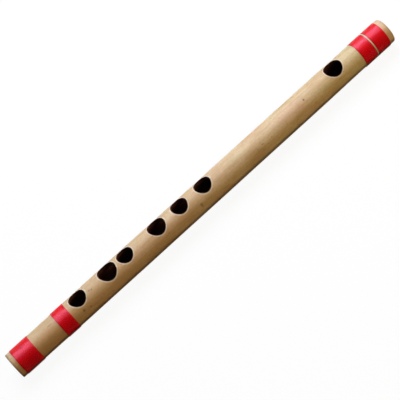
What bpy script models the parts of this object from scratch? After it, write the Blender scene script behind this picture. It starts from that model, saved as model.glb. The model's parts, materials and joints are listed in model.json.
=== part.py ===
"""A bansuri: a side-blown bamboo flute with six finger holes, four red thread bindings, one pale
thread and a cork stopper.

Metres, +Z up. The flute lies along X with its foot at -X and its head at +X. Its holes face +Z and
it rests on z = 0 on the flattened undersides of its bindings. Every sub-part is a child of an empty
at the centre of the foot's cut end, so X in a sub-part's mesh is a distance from the foot.
"""

import math

import bmesh
import bpy
import numpy as np
from mathutils import Vector

# Bamboo
LENGTH = 0.350
OUTER_DIAMETER = 0.0198
WALL = 0.0023
FOOT_EDGE = 0.0003
HEAD_ROUNDING = 0.0010
BORE_EDGE = 0.0004

# Finger holes, foot to head: distance from the foot, length along the flute, width across it.
# They are burnt and filed by hand, so no two are quite alike.
FINGER_HOLES = (
    (0.0621, 0.0129, 0.0123),
    (0.0893, 0.0142, 0.0137),
    (0.1058, 0.0122, 0.0117),
    (0.1350, 0.0134, 0.0131),
    (0.1561, 0.0125, 0.0123),
    (0.1780, 0.0128, 0.0125),
)

# Blow hole: an oval lying along the flute, turned a little towards the player, undercut inside
BLOW_HOLE_FROM_HEAD = 0.0487
BLOW_HOLE_LENGTH = 0.0135
BLOW_HOLE_WIDTH = 0.0121
BLOW_HOLE_ROLL = math.radians(5)
BLOW_HOLE_UNDERCUT = 0.0005
UNDERCUT_DEPTH = 0.0012

# The sanded rim around every hole
RIM_WIDTH = 0.0005
RIM_DEPTH = 0.0003

# Cork stopper
STOPPER_FROM_BLOW_HOLE = 0.0150
STOPPER_LENGTH = 0.0140
STOPPER_TAPER = 0.0001
STOPPER_EDGE = 0.0005

# Thread bindings, each in a shallow scraped seat
FOOT_BINDING_FROM_FOOT = 0.0037
FOOT_BINDING_WIDTH = 0.0159
MIDDLE_BINDING_FROM_FOOT = 0.0409
MIDDLE_BINDING_WIDTH = 0.0111
HEAD_BINDING_FROM_HEAD = 0.0042
HEAD_OUTER_BINDING_WIDTH = 0.0116
HEAD_INNER_BINDING_WIDTH = 0.0112
SEAT_DEPTH = 0.0006
THREAD_DIAMETER = 0.00055
TURN_PITCH = 0.00142
CORE_UNDER_THREAD = 0.00005
FLAT_DEPTH = THREAD_DIAMETER / 10
PALE_THREAD_DIAMETER = 0.00045
PALE_THREAD_OPENING = 0.0006

# Clearance between pieces that touch on the real flute
FIT_GAP = 0.0003

# Fineness of the facets
BAMBOO_SIDES = 48
LOOP_POINTS = 24
HOLE_SIDES = 32
STOPPER_SIDES = 32
ARC_STEPS = 4
FACET_LENGTH = 0.014
CUTTER_REACH = 0.003
SHARP_ANGLE = math.radians(40)

# Places worked out from the sizes above
OUTER_RADIUS = OUTER_DIAMETER / 2
BORE_RADIUS = OUTER_RADIUS - WALL
SEAT_RADIUS = OUTER_RADIUS - SEAT_DEPTH
# A loop has flat sides, so its corners stand further out than the middles of its sides.
CORNER = 1 / math.cos(math.pi / LOOP_POINTS)
THREAD_BOTTOM_RADIUS = (SEAT_RADIUS + FIT_GAP) * CORNER
CORE_RADIUS = THREAD_BOTTOM_RADIUS + CORE_UNDER_THREAD + THREAD_DIAMETER / 2
CROWN_RADIUS = CORE_RADIUS + THREAD_DIAMETER / 2
AXIS_HEIGHT = CROWN_RADIUS / CORNER - FLAT_DEPTH

BLOW_HOLE_FROM_FOOT = LENGTH - BLOW_HOLE_FROM_HEAD
STOPPER_FROM_FOOT = BLOW_HOLE_FROM_FOOT + STOPPER_FROM_BLOW_HOLE

PALE_SLOT = PALE_THREAD_DIAMETER + 2 * FIT_GAP
HEAD_OUTER_END = LENGTH - HEAD_BINDING_FROM_HEAD
HEAD_OUTER_START = HEAD_OUTER_END - HEAD_OUTER_BINDING_WIDTH
PALE_THREAD_PLACE = HEAD_OUTER_START - PALE_SLOT / 2
HEAD_INNER_END = HEAD_OUTER_START - PALE_SLOT
HEAD_INNER_START = HEAD_INNER_END - HEAD_INNER_BINDING_WIDTH
FOOT_BINDING_END = FOOT_BINDING_FROM_FOOT + FOOT_BINDING_WIDTH
MIDDLE_BINDING_END = MIDDLE_BINDING_FROM_FOOT + MIDDLE_BINDING_WIDTH

# Start and end of each scraped seat, foot to head
SEATS = (
    (FOOT_BINDING_FROM_FOOT - FIT_GAP, FOOT_BINDING_END + FIT_GAP),
    (MIDDLE_BINDING_FROM_FOOT - FIT_GAP, MIDDLE_BINDING_END + FIT_GAP),
    (HEAD_INNER_START - FIT_GAP, HEAD_OUTER_END + FIT_GAP),
)


def clear_scene():
    for obj in list(bpy.data.objects):
        bpy.data.objects.remove(obj, do_unlink=True)


def new_collection(name):
    collection = bpy.data.collections.new(name)
    bpy.context.scene.collection.children.link(collection)
    return collection


def new_material(name, colour, roughness):
    """A Principled material with one plain colour."""
    material = bpy.data.materials.new(name)
    material.use_nodes = True
    shader = material.node_tree.nodes["Principled BSDF"]
    shader.inputs["Base Color"].default_value = (*colour, 1)
    shader.inputs["Roughness"].default_value = roughness
    shader.inputs["Metallic"].default_value = 0
    material.diffuse_color = (*colour, 1)
    return material


def new_object(name, mesh, collection, parent):
    obj = bpy.data.objects.new(name, mesh)
    obj.parent = parent
    collection.objects.link(obj)
    return obj


def new_helper(name, mesh, collection, parent):
    """An object that only cuts or joins, and isn't a piece."""
    helper = new_object(name, mesh, collection, parent)
    helper.hide_render = True
    helper.display_type = "WIRE"
    return helper


def finish(obj, material):
    """Gives a piece its material and, where its own mesh has faces, smooth shading up to its edges."""
    obj.data.materials.append(material)
    obj.data.shade_smooth()
    obj.data.set_sharp_from_angle(angle=SHARP_ANGLE)


def add_boolean(obj, operation, other=None, collection=None):
    modifier = obj.modifiers.new(operation.title(), "BOOLEAN")
    modifier.operation = operation
    modifier.solver = "EXACT"
    if collection:
        modifier.operand_type = "COLLECTION"
        modifier.collection = collection
    else:
        modifier.object = other


def turned(name, outline, sides, collection, parent):
    """A closed outline of (distance from the foot, radius) points, turned about the X axis."""
    mesh = bpy.data.meshes.new(name)
    # Run from the head's end to the foot's along the outside, the turned faces point outwards.
    points = [(along, 0, radius) for along, radius in reversed(outline)]
    edges = [(i, (i + 1) % len(points)) for i in range(len(points))]
    mesh.from_pydata(points, edges, [])
    obj = new_object(name, mesh, collection, parent)
    screw = obj.modifiers.new("Turn", "SCREW")
    screw.axis = "X"
    screw.steps = screw.render_steps = sides
    screw.use_smooth_shade = True
    return obj


def stretch(start, end, radius):
    """Outline points along a straight stretch, near enough that no facet is a long sliver."""
    steps = math.ceil(abs(end - start) / FACET_LENGTH)
    return [(start + (end - start) * i / steps, radius) for i in range(steps + 1)]


def bamboo_outline():
    """The wall's outline: foot to head along the outside with its seats, then back down the bore."""
    outline = [(0, OUTER_RADIUS - FOOT_EDGE)]
    place = FOOT_EDGE
    for start, end in SEATS:
        outline += stretch(place, start, OUTER_RADIUS)
        outline += stretch(start, end, SEAT_RADIUS)
        place = end
    arc_start = LENGTH - HEAD_ROUNDING
    outline += stretch(place, arc_start, OUTER_RADIUS)
    for i in range(1, ARC_STEPS + 1):
        angle = math.pi / 2 * i / ARC_STEPS
        along = arc_start + HEAD_ROUNDING * math.sin(angle)
        outline.append((along, OUTER_RADIUS - HEAD_ROUNDING * (1 - math.cos(angle))))
    outline.append((LENGTH, BORE_RADIUS + BORE_EDGE))
    outline += stretch(LENGTH - BORE_EDGE, BORE_EDGE, BORE_RADIUS)
    outline.append((0, BORE_RADIUS + BORE_EDGE))
    return outline


def hole_cutter(name, from_foot, length, width, roll, undercut, collection, parent):
    """A plug shaped like a hole. Its middle rings follow the curve of the wall, so the sanded rim
    keeps one width all the way round, and its two end rings are flat."""
    # Each ring's height over the bamboo's surface, and how far it stands outside the hole
    rings = [(None, undercut)]
    if undercut:
        rings += [(-WALL, undercut), (UNDERCUT_DEPTH - WALL, 0)]
    rings += [(-RIM_DEPTH, 0), (RIM_DEPTH, 2 * RIM_WIDTH), (None, 2 * RIM_WIDTH)]
    top = len(rings) - 1
    shape = bmesh.new()
    bmesh.ops.create_cone(
        shape, cap_ends=True, segments=HOLE_SIDES, radius1=1, radius2=1, depth=top
    )
    bmesh.ops.translate(shape, vec=(0, 0, top / 2), verts=shape.verts)
    for level in range(1, top):
        everything = shape.verts[:] + shape.edges[:] + shape.faces[:]
        bmesh.ops.bisect_plane(
            shape, geom=everything, plane_co=(0, 0, level), plane_no=(0, 0, 1)
        )
    for vert in shape.verts:
        level = round(vert.co.z)
        height, growth = rings[level]
        x = vert.co.x * (length / 2 + growth)
        y = vert.co.y * (width / 2 + growth)
        if level == 0:
            z = 0
        elif level == top:
            z = OUTER_RADIUS + CUTTER_REACH
        else:
            z = height + math.sqrt(OUTER_RADIUS**2 - y**2)
        vert.co = (x, y, z)
    bmesh.ops.triangulate(shape, faces=shape.faces)
    mesh = bpy.data.meshes.new(name)
    shape.to_mesh(mesh)
    shape.free()
    cutter = new_helper(name, mesh, collection, parent)
    cutter.location.x = from_foot
    cutter.rotation_euler.x = roll
    return cutter


def make_bamboo(material, pieces, cutters, parent):
    """The bamboo: a straight length with no knot, bored right through, with seven holes in one line."""
    bamboo = turned("bamboo_tube", bamboo_outline(), BAMBOO_SIDES, pieces, parent)
    for number, (from_foot, length, width) in enumerate(FINGER_HOLES, 1):
        hole_cutter(f"finger_hole_{number}", from_foot, length, width, 0, 0, cutters, parent)
    hole_cutter(
        "blow_hole",
        BLOW_HOLE_FROM_FOOT,
        BLOW_HOLE_LENGTH,
        BLOW_HOLE_WIDTH,
        BLOW_HOLE_ROLL,
        BLOW_HOLE_UNDERCUT,
        cutters,
        parent,
    )
    add_boolean(bamboo, "DIFFERENCE", collection=cutters)
    finish(bamboo, material)


def make_stopper(material, pieces, parent):
    """The cork, pushed in from the head. It tapers a little and its edges are eased."""
    mesh = bpy.data.meshes.new("cork_stopper")
    shape = bmesh.new()
    radius = BORE_RADIUS - FIT_GAP
    bmesh.ops.create_cone(
        shape,
        cap_ends=True,
        segments=STOPPER_SIDES,
        radius1=radius,
        radius2=radius - STOPPER_TAPER,
        depth=STOPPER_LENGTH,
    )
    turn = Vector((0, 0, 1)).rotation_difference(Vector((-1, 0, 0))).to_matrix()
    bmesh.ops.rotate(shape, verts=shape.verts, cent=(0, 0, 0), matrix=turn)
    shape.to_mesh(mesh)
    shape.free()
    stopper = new_object("cork_stopper", mesh, pieces, parent)
    stopper.location.x = STOPPER_FROM_FOOT + STOPPER_LENGTH / 2
    edge = stopper.modifiers.new("Eased edges", "BEVEL")
    edge.width = STOPPER_EDGE
    edge.segments = 2
    edge.limit_method = "ANGLE"
    edge.angle_limit = math.radians(60)
    finish(stopper, material)


def loop_points(start, end, loops, radius, open_angle=0):
    """Points of a thread that winds from start to end along X, beginning at the underside."""
    count = round(loops * LOOP_POINTS)
    whole_turn = 2 * math.pi * loops - open_angle
    points = []
    for i in range(count + 1):
        share = i / count
        angle = math.pi + open_angle / 2 + whole_turn * share
        along = start + (end - start) * share
        points.append((along, radius * math.sin(angle), radius * math.cos(angle)))
    return points


def least_gap(points, diameter):
    """The least clear distance between stretches of a thread that lie a loop apart."""
    places = np.array(points)
    apart = np.linalg.norm(places[:, None] - places[None], axis=2)
    steps = np.abs(np.subtract.outer(np.arange(len(places)), np.arange(len(places))))
    return apart[steps > LOOP_POINTS / 2].min() - diameter


def thread_mesh(name, points, diameter):
    """A closed tube along the points, with its caps welded on."""
    curve = bpy.data.curves.new(name, "CURVE")
    curve.dimensions = "3D"
    curve.bevel_depth = diameter / 2
    curve.bevel_resolution = 1
    curve.use_fill_caps = True
    spline = curve.splines.new("POLY")
    spline.points.add(len(points) - 1)
    for point, place in zip(spline.points, points):
        point.co = (*place, 1)
    guide = bpy.data.objects.new(name, curve)
    bpy.context.scene.collection.objects.link(guide)
    bpy.context.view_layer.update()
    evaluated = guide.evaluated_get(bpy.context.evaluated_depsgraph_get())
    mesh = bpy.data.meshes.new_from_object(evaluated)
    bpy.data.objects.remove(guide, do_unlink=True)
    bpy.data.curves.remove(curve)
    shape = bmesh.new()
    shape.from_mesh(mesh)
    bmesh.ops.remove_doubles(shape, verts=shape.verts, dist=diameter / 1000)
    bmesh.ops.recalc_face_normals(shape, faces=shape.faces)
    shape.to_mesh(mesh)
    shape.free()
    mesh.name = name
    return mesh


def make_binding(name, start, end, material, pieces, helpers, floor, parent):
    """One binding: a single thread wound side by side over a thin plain core, flat underneath."""
    first, last = start + THREAD_DIAMETER / 2, end - THREAD_DIAMETER / 2
    loops = math.floor((last - first) / TURN_PITCH)
    points = loop_points(first, last, loops, CORE_RADIUS)
    gap = least_gap(points, THREAD_DIAMETER)
    print(f"{name}: {loops} turns, least gap {gap * 1000:.2f} mm")
    tube = thread_mesh(f"{name}_thread", points, THREAD_DIAMETER)
    thread = new_helper(f"{name}_thread", tube, helpers, parent)
    outline = [
        (start, CORE_RADIUS),
        (end, CORE_RADIUS),
        (end, THREAD_BOTTOM_RADIUS),
        (start, THREAD_BOTTOM_RADIUS),
    ]
    binding = turned(name, outline, LOOP_POINTS, pieces, parent)
    # Half a side's turn puts the middle of a flat side, and not a corner, at the underside.
    binding.rotation_euler.x = thread.rotation_euler.x = math.pi / LOOP_POINTS
    add_boolean(binding, "UNION", other=thread)
    add_boolean(binding, "DIFFERENCE", other=floor)
    finish(binding, material)


def make_pale_thread(material, pieces, parent):
    """One turn of pale thread between the two head bindings, its ends butted at the underside."""
    radius = THREAD_BOTTOM_RADIUS + PALE_THREAD_DIAMETER / 2
    open_angle = PALE_THREAD_OPENING / radius
    points = loop_points(PALE_THREAD_PLACE, PALE_THREAD_PLACE, 1, radius, open_angle)
    gap = (Vector(points[0]) - Vector(points[-1])).length
    print(f"pale_thread: 1 turn, least gap {gap * 1000:.2f} mm")
    tube = thread_mesh("pale_thread", points, PALE_THREAD_DIAMETER)
    finish(new_object("pale_thread", tube, pieces, parent), material)


def make_floor_block(helpers):
    """A block whose top lies at z = 0, which flattens the undersides of the bindings."""
    mesh = bpy.data.meshes.new("floor_block")
    shape = bmesh.new()
    bmesh.ops.create_cube(shape, size=1)
    bmesh.ops.scale(shape, vec=(LENGTH, OUTER_DIAMETER, CUTTER_REACH), verts=shape.verts)
    bmesh.ops.translate(shape, vec=(0, 0, -CUTTER_REACH / 2), verts=shape.verts)
    shape.to_mesh(mesh)
    shape.free()
    return new_helper("floor_block", mesh, helpers, None)


def main():
    clear_scene()
    pieces = new_collection("bansuri")
    hole_cutters = new_collection("hole_cutters")
    helpers = new_collection("helpers")

    bamboo_material = new_material("bamboo", (0.60, 0.43, 0.23), 0.45)
    red_material = new_material("red_thread", (0.60, 0.01, 0.02), 0.40)
    pale_material = new_material("pale_thread", (0.88, 0.72, 0.60), 0.50)
    cork_material = new_material("cork", (0.46, 0.27, 0.13), 0.85)

    foot = bpy.data.objects.new("foot_centre", None)
    foot.location = (-LENGTH / 2, 0, AXIS_HEIGHT)
    pieces.objects.link(foot)

    make_bamboo(bamboo_material, pieces, hole_cutters, foot)
    make_stopper(cork_material, pieces, foot)
    floor = make_floor_block(helpers)
    for name, start, end in (
        ("foot_binding", FOOT_BINDING_FROM_FOOT, FOOT_BINDING_END),
        ("middle_binding", MIDDLE_BINDING_FROM_FOOT, MIDDLE_BINDING_END),
        ("head_inner_binding", HEAD_INNER_START, HEAD_INNER_END),
        ("head_outer_binding", HEAD_OUTER_START, HEAD_OUTER_END),
    ):
        make_binding(name, start, end, red_material, pieces, helpers, floor, foot)
    make_pale_thread(pale_material, pieces, foot)


main()
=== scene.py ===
# %% [markdown]
# A bansuri is a side-blown flute made of one length of bamboo. Its maker burns seven holes with
# hot rods, sands their rims, winds red thread round the tube so that it can't split, and pushes a
# cork into the head. This lesson gives such a flute its looks.
#
# The solids of the flute are loaded first, as a fixed frame. Every size below is measured on
# them, so the looks always fit the construction.

# %% Load the frame
import json
import math
from collections import namedtuple

import bmesh
import bpy
from mathutils import Matrix, Vector, noise


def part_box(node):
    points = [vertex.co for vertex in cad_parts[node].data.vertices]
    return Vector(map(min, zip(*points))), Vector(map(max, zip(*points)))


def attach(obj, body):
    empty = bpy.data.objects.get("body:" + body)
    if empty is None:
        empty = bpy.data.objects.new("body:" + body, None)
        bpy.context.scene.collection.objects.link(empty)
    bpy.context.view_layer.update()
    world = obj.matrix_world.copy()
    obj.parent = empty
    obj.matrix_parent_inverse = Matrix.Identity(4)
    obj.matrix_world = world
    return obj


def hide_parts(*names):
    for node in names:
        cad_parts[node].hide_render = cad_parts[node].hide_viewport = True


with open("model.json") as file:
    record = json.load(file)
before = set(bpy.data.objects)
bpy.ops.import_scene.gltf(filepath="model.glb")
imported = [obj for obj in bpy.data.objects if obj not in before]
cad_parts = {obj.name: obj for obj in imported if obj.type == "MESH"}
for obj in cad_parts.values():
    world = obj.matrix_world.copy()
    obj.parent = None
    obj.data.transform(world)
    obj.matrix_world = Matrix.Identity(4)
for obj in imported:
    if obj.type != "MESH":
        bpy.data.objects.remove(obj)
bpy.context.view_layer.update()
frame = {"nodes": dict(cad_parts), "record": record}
print("Nodes in the frame:", ", ".join(sorted(frame["nodes"])))

# %% [markdown]
# Nearly everything on a flute is round, so a point is easiest to think of as a place along the
# flute, an angle round it and a radius from its axis. Angle 0 is the top, where the holes are, and
# angles grow towards +Y, away from the player.

# %% Measure the tube
MM = 0.001
QUARTER_TURN = math.pi / 2
FULL_TURN = 2 * math.pi

tube_low, tube_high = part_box("bamboo_tube")
tube_points = [vertex.co for vertex in frame["nodes"]["bamboo_tube"].data.vertices]
FOOT, HEAD = tube_low.x, tube_high.x
LENGTH = HEAD - FOOT
AXIS_HEIGHT = (tube_low.z + tube_high.z) / 2
OUTER_RADIUS = (tube_high.y - tube_low.y) / 2


def polar(point):
    """A point's angle round the flute's axis and its radius from it."""
    across, up = point.y, point.z - AXIS_HEIGHT
    return math.atan2(across, up), math.hypot(across, up)


def on_flute(along, angle, radius):
    """The point at this place along the flute, angle round it and radius from its axis."""
    return Vector((along, radius * math.sin(angle), AXIS_HEIGHT + radius * math.cos(angle)))


BORE_RADIUS = min(polar(point)[1] for point in tube_points)
WALL = OUTER_RADIUS - BORE_RADIUS
print(f"The tube is {LENGTH / MM:.0f} mm long and {2 * OUTER_RADIUS / MM:.1f} mm across")
print(f"and its bore is {2 * BORE_RADIUS / MM:.1f} mm")

# %% [markdown]
# Each hole is a hand-burnt oval. The record gives a box that fits inside it, and the solid's own
# points on the hole's wall give its true length, its width, and its roll, the angle by which it is
# turned away from the top. Only the blow hole is turned, a little towards the player's lips.

# %% Measure the holes
HOLE_REACH = 9 * MM
RIM_WIDTH = 0.5 * MM
RIM_DEPTH = 0.3 * MM
BLOW_HOLE_UNDERCUT = 0.5 * MM

Hole = namedtuple("Hole", "name along length width roll undercut")


def measure_hole(opening):
    """Measures the hole round an opening's box on the solid."""
    low, high = (Vector(corner) for corner in opening["box_m"])
    middle = (low.x + high.x) / 2
    wall = []
    for point in tube_points:
        angle, radius = polar(point)
        in_wall = BORE_RADIUS + RIM_DEPTH / 2 < radius < OUTER_RADIUS - RIM_DEPTH / 2
        if in_wall and abs(point.x - middle) < HOLE_REACH and abs(angle) < QUARTER_TURN:
            wall.append((point.x, angle, radius))
    places = [place for place, _, _ in wall]
    angles = [angle for _, angle, _ in wall]
    roll = (min(angles) + max(angles)) / 2
    across = [radius * math.sin(angle - roll) for _, angle, radius in wall]
    return Hole(
        name=opening["name"],
        along=(min(places) + max(places)) / 2,
        length=max(places) - min(places),
        width=max(across) - min(across),
        roll=roll,
        undercut=BLOW_HOLE_UNDERCUT if opening["name"] == "blow_hole" else 0,
    )


openings = frame["record"]["physics"]["openings"]
holes = [measure_hole(opening) for opening in openings if "hole" in opening["name"]]
for hole in holes:
    size = f"{hole.length / MM:.1f} by {hole.width / MM:.1f} mm"
    print(f"{hole.name}: {size} at {(hole.along - FOOT) / MM:.1f} mm from the foot")

# %% [markdown]
# The camera sees the flute from its player's side and from above, 39 degrees from straight over
# the holes, with the foot a little nearer than the head. It is rolled so that the flute rises
# across the picture from the lower left to the upper right. A long lens, about a metre away, keeps
# the two ends nearly the same width.
#
# A camera looks along its own -Z, with X to the picture's right and Y up, so three directions on
# the flute are enough to build its matrix.

# %% Place the camera
CAMERA_DISTANCE = 1.0005
CAMERA_LENS = 129.75
SENSOR_WIDTH = 36
CAMERA_FROM_TOP = math.radians(38.8)
CAMERA_TOWARDS_FOOT = math.radians(6.78)
FLUTE_RISE = math.radians(42.2)
AIM = Vector((-4.4, -0.65, 9.6)) * MM

outwards = Vector((0, -math.sin(CAMERA_FROM_TOP), math.cos(CAMERA_FROM_TOP)))
along_flute = Vector((1, 0, 0))
backwards = (
    math.cos(CAMERA_TOWARDS_FOOT) * outwards - math.sin(CAMERA_TOWARDS_FOOT) * along_flute
)
level = (
    math.cos(CAMERA_TOWARDS_FOOT) * along_flute + math.sin(CAMERA_TOWARDS_FOOT) * outwards
)
below = level.cross(backwards)
picture_right = math.cos(FLUTE_RISE) * level + math.sin(FLUTE_RISE) * below
picture_up = backwards.cross(picture_right)

camera_data = bpy.data.cameras.new("camera")
camera_data.lens = CAMERA_LENS
camera_data.sensor_width = SENSOR_WIDTH
camera = bpy.data.objects.new("camera", camera_data)
turn = Matrix((picture_right, picture_up, backwards)).transposed().to_4x4()
camera.matrix_world = Matrix.Translation(AIM + CAMERA_DISTANCE * backwards) @ turn
bpy.context.scene.collection.objects.link(camera)
bpy.context.scene.camera = camera
print("The camera stands at", [round(value, 3) for value in camera.matrix_world.translation])

# %% [markdown]
# A material in Blender is a small network of nodes. These helpers add one node each and hand back
# its output, so that a recipe can be read from top to bottom like a sum. An input is either a
# number or colour, or the output of another node.

# %% Helpers for shader nodes
BLACK = (0, 0, 0, 1)
WHITE = (1, 1, 1, 1)


def feed(tree, node, inputs):
    """Links or sets the inputs of a node, by name or by number."""
    for key, value in inputs.items():
        if isinstance(value, bpy.types.NodeSocket):
            tree.links.new(value, node.inputs[key])
        else:
            node.inputs[key].default_value = value


def add_node(tree, kind, inputs=None, **settings):
    """Adds a node, sets its properties and feeds its inputs."""
    made = tree.nodes.new(kind)
    for name, value in settings.items():
        setattr(made, name, value)
    feed(tree, made, inputs or {})
    return made


def maths(tree, operation, first, second=0.0, clamp=False):
    """One sum, such as ADD or MULTIPLY, on one or two values."""
    inputs = {0: first, 1: second}
    made = add_node(tree, "ShaderNodeMath", inputs, operation=operation, use_clamp=clamp)
    return made.outputs[0]


def remap(tree, value, low, high, to_low=0.0, to_high=1.0):
    """Turns the range from low to high smoothly into the range from to_low to to_high."""
    inputs = {"Value": value, 1: low, 2: high, 3: to_low, 4: to_high}
    made = add_node(tree, "ShaderNodeMapRange", inputs, interpolation_type="SMOOTHSTEP")
    return made.outputs["Result"]


def mix_colour(tree, share, first, second):
    """Mixes two colours. Share 0 is the first colour alone."""
    inputs = {"Factor": share, 6: first, 7: second}
    return add_node(tree, "ShaderNodeMix", inputs, data_type="RGBA").outputs[2]


def object_place(tree):
    """Each point's own place on the flute, in metres."""
    return add_node(tree, "ShaderNodeTexCoord").outputs["Object"]


def painted(tree, name):
    """A value that was painted on the mesh's points."""
    return add_node(tree, "ShaderNodeAttribute", attribute_name=name).outputs["Fac"]


def bump(tree, height, depth):
    """A surface normal tilted by a height map. Depth is in metres for a height of 1."""
    inputs = {"Height": height, "Distance": depth, "Strength": 1.0}
    return add_node(tree, "ShaderNodeBump", inputs).outputs["Normal"]


def new_material(name):
    """A material with its node tree and its Principled shader."""
    material = bpy.data.materials.new(name)
    material.use_nodes = True
    return material, material.node_tree, material.node_tree.nodes["Principled BSDF"]


print("The helpers for shader nodes are ready")

# %% [markdown]
# Patterns come from noise in metres, not from pictures. A Mapping node divides each point's place
# by the size that a feature should have, and different sizes along and across stretch the noise
# into grain. Single marks are even simpler: a spot is wherever the distance from its middle is
# small.

# %% Helpers for patterns
SPOT_CORE = 0.3  # the share of a spot's radius that has its full strength


def stretched(tree, vector, size):
    """Coordinates for a pattern whose features have this size in metres along X, Y and Z."""
    inputs = {"Vector": vector, "Scale": [1 / value for value in size]}
    return add_node(tree, "ShaderNodeMapping", inputs).outputs["Vector"]


def clouds(tree, vector, size, detail=2.0, roughness=0.5):
    """Soft random patches of a size in metres, from 0 to 1."""
    inputs = {
        "Vector": stretched(tree, vector, size),
        "Scale": 1.0,
        "Detail": detail,
        "Roughness": roughness,
    }
    return add_node(tree, "ShaderNodeTexNoise", inputs).outputs["Fac"]


def cells(tree, vector, size):
    """Distances to the nearest of many scattered points, about one point to a size in metres."""
    inputs = {"Vector": stretched(tree, vector, size), "Scale": 1.0}
    return add_node(tree, "ShaderNodeTexVoronoi", inputs).outputs["Distance"]


def add_spots(tree, vector, colour, spots, spot_colour):
    """Mixes in soft round spots: place along, angle towards the player, radius, strength."""
    for along, degrees, size, strength in spots:
        inputs = {0: vector, 1: on_flute(along, -math.radians(degrees), OUTER_RADIUS)}
        gap = add_node(tree, "ShaderNodeVectorMath", inputs, operation="DISTANCE")
        share = remap(tree, gap.outputs["Value"], size, SPOT_CORE * size, 0, strength)
        colour = mix_colour(tree, share, colour, spot_colour)
    return colour


print("The helpers for patterns are ready")

# %% [markdown]
# Patterns on a round tube need the angle round it and the radius from its axis, worked out from
# Object coordinates. Bamboo and thread both use them, so they are a node group with its own
# outputs, built once. The turn is given as a share of a full circle, from -0.5 to 0.5.

# %% The group that finds a place on the round
FLOAT = "NodeSocketFloat"
COLOUR = "NodeSocketColor"


def new_group(name, inputs, outputs):
    """A shader node group whose sockets are given as pairs of a name and a kind."""
    group = bpy.data.node_groups.new(name, "ShaderNodeTree")
    for in_out, sockets in (("INPUT", inputs), ("OUTPUT", outputs)):
        for socket_name, kind in sockets:
            group.interface.new_socket(socket_name, in_out=in_out, socket_type=kind)
    start = group.nodes.new("NodeGroupInput")
    end = group.nodes.new("NodeGroupOutput")
    return group, start.outputs, end


def use_group(tree, group, inputs=None):
    """Places a group in a tree and gives its outputs."""
    return add_node(tree, "ShaderNodeGroup", inputs, node_tree=group).outputs


round_group, _, round_end = new_group(
    "place_on_the_round", [], [("Along", FLOAT), ("Turn", FLOAT), ("Radius", FLOAT)]
)
parts = add_node(round_group, "ShaderNodeSeparateXYZ", {0: object_place(round_group)}).outputs
height = maths(round_group, "SUBTRACT", parts["Z"], AXIS_HEIGHT)
angle = maths(round_group, "ARCTAN2", parts["Y"], height)
squares = [maths(round_group, "MULTIPLY", value, value) for value in (parts["Y"], height)]
round_outputs = {
    "Along": parts["X"],
    "Turn": maths(round_group, "DIVIDE", angle, FULL_TURN),
    "Radius": maths(round_group, "SQRT", maths(round_group, "ADD", *squares)),
}
feed(round_group, round_end, round_outputs)
print("Group:", round_group.name)

# %% [markdown]
# Both the bamboo and the thread are darkened round the underside with painted shade, each by its
# own amount, so this is a group too. It only needs the turn off the top, and the same side stays
# dark wherever the camera stands.

# %% The group that darkens the underside
underside_shade_group, underside_shade_in, underside_shade_end = new_group(
    "underside_painted_shade",
    [("Colour", COLOUR), ("Start", FLOAT), ("End", FLOAT), ("Strength", FLOAT)],
    [("Colour", COLOUR)],
)
off_top = maths(underside_shade_group, "ABSOLUTE", use_group(underside_shade_group, round_group)["Turn"])
underside_shade_share = remap(underside_shade_group, off_top, underside_shade_in["Start"], underside_shade_in["End"], 0, underside_shade_in["Strength"])
darkened = mix_colour(underside_shade_group, underside_shade_share, underside_shade_in["Colour"], BLACK)
feed(underside_shade_group, underside_shade_end, {"Colour": darkened})
print("Group:", underside_shade_group.name)

# %% [markdown]
# Bamboo skin has several scales of detail, and the broadest comes first: cloudy patches from straw
# to tan, with a greenish or a rosy cast here and there. Patches and casts are one kind of noise,
# read in two places so that they don't follow each other.
#
# A range turns a pattern's values into shares of a colour. It gives the values where it starts
# and ends, and then the shares there, which are 0 and 1 where they aren't given.

# %% The skin's patches and casts
STRAW = (0.72, 0.55, 0.33, 1)
TAN = (0.62, 0.435, 0.23, 1)
GREENISH = (0.59, 0.55, 0.28, 1)
ROSY = (0.73, 0.465, 0.32, 1)
PATCH_SIZE = (26 * MM, 9 * MM, 9 * MM)
PATCH_RANGE = (0.40, 0.66)
CAST_SHIFT = (0.31, 0.17, 0.05)
GREEN_RANGE = (0.55, 0.75, 0, 0.45)
ROSY_RANGE = (0.45, 0.28, 0, 0.45)

bamboo_material, tree, bamboo_shader = new_material("bamboo")
place = object_place(tree)
where = use_group(tree, round_group)

patches = clouds(tree, place, PATCH_SIZE, detail=3)
skin = mix_colour(tree, remap(tree, patches, *PATCH_RANGE), STRAW, TAN)
shifted = add_node(tree, "ShaderNodeVectorMath", {0: place, 1: CAST_SHIFT}).outputs[0]
casts = clouds(tree, shifted, PATCH_SIZE, detail=1)
skin = mix_colour(tree, remap(tree, casts, *GREEN_RANGE), skin, GREENISH)
skin = mix_colour(tree, remap(tree, casts, *ROSY_RANGE), skin, ROSY)
print("The skin has patches and casts")

# %% [markdown]
# The two ends differ. Towards the foot the skin is browner. There it has two copies of its brown,
# a paler one on the lit side and a redder, darker one on the side that faces the player, where
# shade falls: that difference is painted shade. Towards the head it is greener, with a rosy stub
# beyond the last binding. Both cut ends are darker, the foot's more so. Apart from the painted
# shade, which also needs the turn round the flute, each of these tints only needs the place along
# the flute.

# %% Tint it towards the ends
FOOT_TAN_LIT_SIDE = (0.64, 0.465, 0.255, 1)
FOOT_RUST_SHADE_SIDE = (0.65, 0.36, 0.145, 1)
END_BROWN = (0.38, 0.22, 0.10, 1)
BUNDLE_BROWN = (0.26, 0.15, 0.07, 1)
FOOT_TINT_LENGTH = 240 * MM
FOOT_TINT = 0.75
SHADE_SIDE_TURNS = (0.03, -0.12)
HEAD_TINT_LENGTH = 90 * MM
HEAD_TINT = 0.6
HEAD_STUB = 5 * MM
HEAD_STUB_TINT = 0.65
END_DARKENING_LENGTH = 1.6 * MM
END_DARKENING = 0.85
FOOT_END_DARKENING_RANGE = (2.2 * MM, 0.44 * MM, 0, 0.5)

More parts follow.
